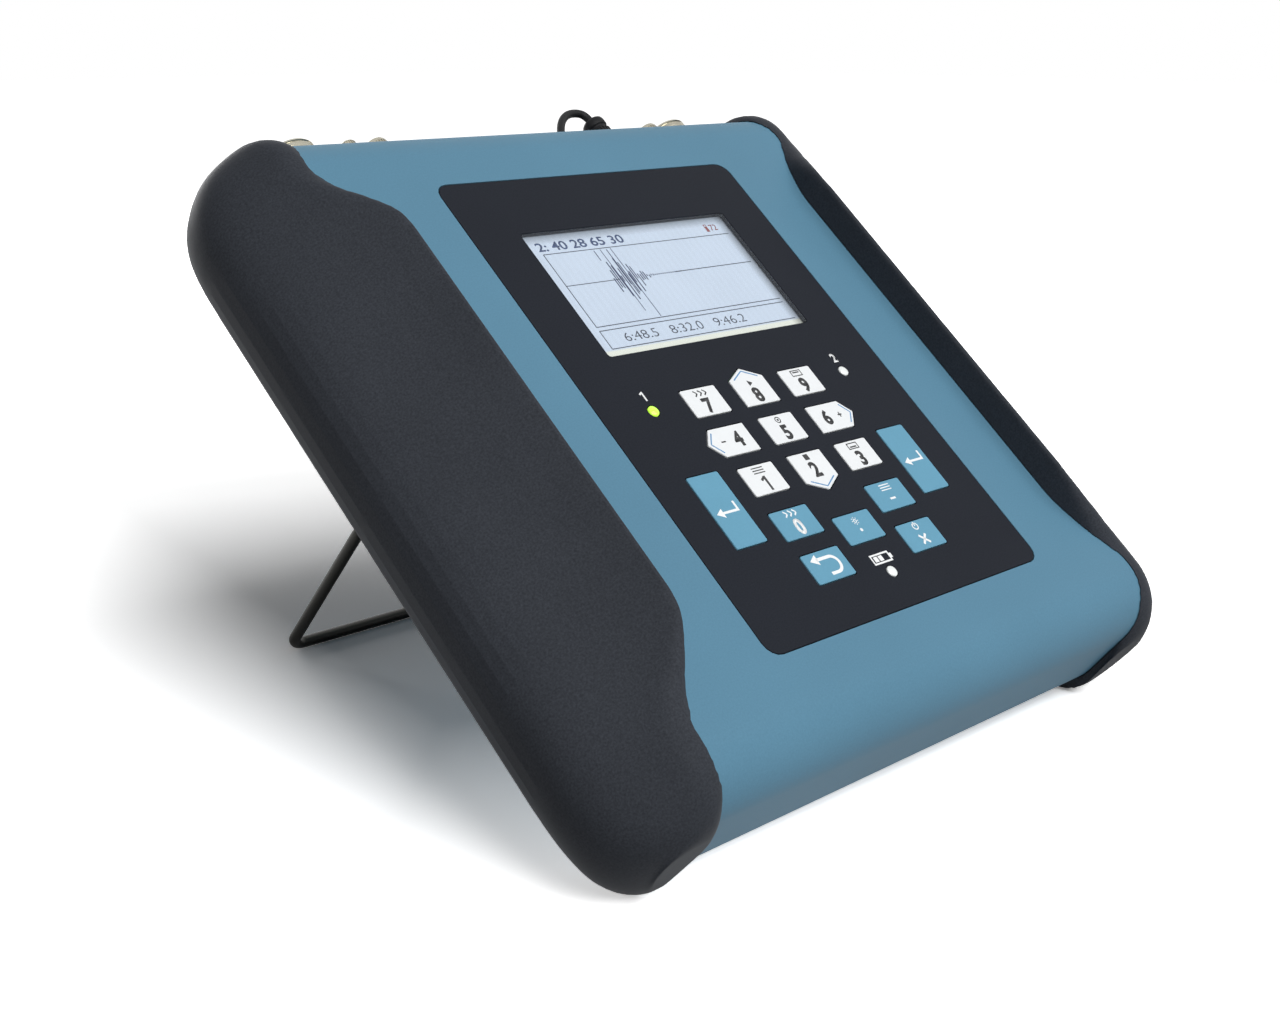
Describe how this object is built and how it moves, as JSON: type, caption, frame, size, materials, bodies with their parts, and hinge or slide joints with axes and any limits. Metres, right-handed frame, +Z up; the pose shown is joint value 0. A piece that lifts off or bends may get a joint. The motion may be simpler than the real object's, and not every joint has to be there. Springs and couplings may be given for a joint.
{
  "type": "portable ultrasonic flow meter",
  "caption": "Portable clamp-on flow meter: folded metal sleeve between soft side grips, display and foil keypad, sockets along the top edge, fold-out wire bail.",
  "frame": {"origin": "centre of the bounding box, on the surface that the unit stands on", "axes": "+X to the right as the display is read, +Y away from the reader, +Z up; the unit leans back on its bail"},
  "size_m": [0.2256, 0.2178, 0.1644],
  "materials": {
    "sleeve_metal": "satin blue-grey lacquer",
    "soft_grip": "fine matt texture",
    "panel_foil": "fine matt foil",
    "key_white": "matt foil, printed numeral",
    "key_blue": "matt foil, printed sign",
    "window": "clear, lightly frosted",
    "display": "pale lit display",
    "lamp_lit": "lit",
    "lamp_clear": "clear",
    "board": "solder mask",
    "dark_plastic": "matt",
    "frame_metal": "milled",
    "bail_metal": "dark coated wire",
    "dust_rubber": "moulded",
    "socket_metal": "nickel plated"
  },
  "bodies": {
    "housing": {"bail_clip_left": "bail_metal", "bail_clip_right": "bail_metal", "battery_pack": "dark_plastic", "channel_insert_a": "dark_plastic", "channel_insert_b": "dark_plastic", "channel_socket_a": "socket_metal", "channel_socket_b": "socket_metal", "display_window": "window", "dust_cap_strap": "dust_rubber", "earth_post": "socket_metal", "foil_panel": "panel_foil", "inner_frame": "frame_metal", "key_board": "board", "lamp_battery": "lamp_clear", "lamp_channel_a": "lamp_lit", "lamp_channel_b": "lamp_clear", "lcd_module": "display", "main_board": "board", "output_socket_left": "socket_metal", "output_socket_right": "socket_metal", "panel_carrier": "dark_plastic", "service_port": "dark_plastic", "side_cap_left": "soft_grip", "side_cap_right": "soft_grip", "sleeve": "sleeve_metal", "strap_anchor": "dark_plastic"},
    "bail": {"bail": "bail_metal"},
    "dust_cap": {"dust_cap": "dust_rubber"},
    "key_0": {"key_0": "key_blue"},
    "key_1": {"key_1": "key_white"},
    "key_2": {"key_2": "key_white"},
    "key_3": {"key_3": "key_white"},
    "key_4": {"key_4": "key_white"},
    "key_5": {"key_5": "key_white"},
    "key_6": {"key_6": "key_white"},
    "key_7": {"key_7": "key_white"},
    "key_8": {"key_8": "key_white"},
    "key_9": {"key_9": "key_white"},
    "key_back": {"key_back": "key_blue"},
    "key_clear": {"key_clear": "key_blue"},
    "key_enter_left": {"key_enter_left": "key_blue"},
    "key_enter_right": {"key_enter_right": "key_blue"},
    "key_minus": {"key_minus": "key_blue"},
    "key_point": {"key_point": "key_blue"}
  },
  "joints": [
    {"name": "bail_fold", "type": "hinge", "parent": "housing", "child": "bail", "pos_m": [0, 0.03126, 0.09063], "axis": [1, 0, 0], "range_deg": [-90, 0]},
    {"name": "dust_cap_pull", "type": "slide", "parent": "housing", "child": "dust_cap", "axis": [0, 0.7605, 0.6493], "range_m": [0, 0.018], "deforming": ["dust_cap_strap"]},
    {"name": "key_0_press", "type": "slide", "parent": "housing", "child": "key_0", "axis": [0, 0.6493, -0.7605], "range_m": [0, 0.0005], "stiffness_N_per_m": 800},
    {"name": "key_1_press", "type": "slide", "parent": "housing", "child": "key_1", "axis": [0, 0.6493, -0.7605], "range_m": [0, 0.0005], "stiffness_N_per_m": 800},
    {"name": "key_2_press", "type": "slide", "parent": "housing", "child": "key_2", "axis": [0, 0.6493, -0.7605], "range_m": [0, 0.0005], "stiffness_N_per_m": 800},
    {"name": "key_3_press", "type": "slide", "parent": "housing", "child": "key_3", "axis": [0, 0.6493, -0.7605], "range_m": [0, 0.0005], "stiffness_N_per_m": 800},
    {"name": "key_4_press", "type": "slide", "parent": "housing", "child": "key_4", "axis": [0, 0.6493, -0.7605], "range_m": [0, 0.0005], "stiffness_N_per_m": 800},
    {"name": "key_5_press", "type": "slide", "parent": "housing", "child": "key_5", "axis": [0, 0.6493, -0.7605], "range_m": [0, 0.0005], "stiffness_N_per_m": 800},
    {"name": "key_6_press", "type": "slide", "parent": "housing", "child": "key_6", "axis": [0, 0.6493, -0.7605], "range_m": [0, 0.0005], "stiffness_N_per_m": 800},
    {"name": "key_7_press", "type": "slide", "parent": "housing", "child": "key_7", "axis": [0, 0.6493, -0.7605], "range_m": [0, 0.0005], "stiffness_N_per_m": 800},
    {"name": "key_8_press", "type": "slide", "parent": "housing", "child": "key_8", "axis": [0, 0.6493, -0.7605], "range_m": [0, 0.0005], "stiffness_N_per_m": 800},
    {"name": "key_9_press", "type": "slide", "parent": "housing", "child": "key_9", "axis": [0, 0.6493, -0.7605], "range_m": [0, 0.0005], "stiffness_N_per_m": 800},
    {"name": "key_back_press", "type": "slide", "parent": "housing", "child": "key_back", "axis": [0, 0.6493, -0.7605], "range_m": [0, 0.0005], "stiffness_N_per_m": 800},
    {"name": "key_clear_press", "type": "slide", "parent": "housing", "child": "key_clear", "axis": [0, 0.6493, -0.7605], "range_m": [0, 0.0005], "stiffness_N_per_m": 800},
    {"name": "key_enter_left_press", "type": "slide", "parent": "housing", "child": "key_enter_left", "axis": [0, 0.6493, -0.7605], "range_m": [0, 0.0005], "stiffness_N_per_m": 800},
    {"name": "key_enter_right_press", "type": "slide", "parent": "housing", "child": "key_enter_right", "axis": [0, 0.6493, -0.7605], "range_m": [0, 0.0005], "stiffness_N_per_m": 800},
    {"name": "key_minus_press", "type": "slide", "parent": "housing", "child": "key_minus", "axis": [0, 0.6493, -0.7605], "range_m": [0, 0.0005], "stiffness_N_per_m": 800},
    {"name": "key_point_press", "type": "slide", "parent": "housing", "child": "key_point", "axis": [0, 0.6493, -0.7605], "range_m": [0, 0.0005], "stiffness_N_per_m": 800}
  ]
}
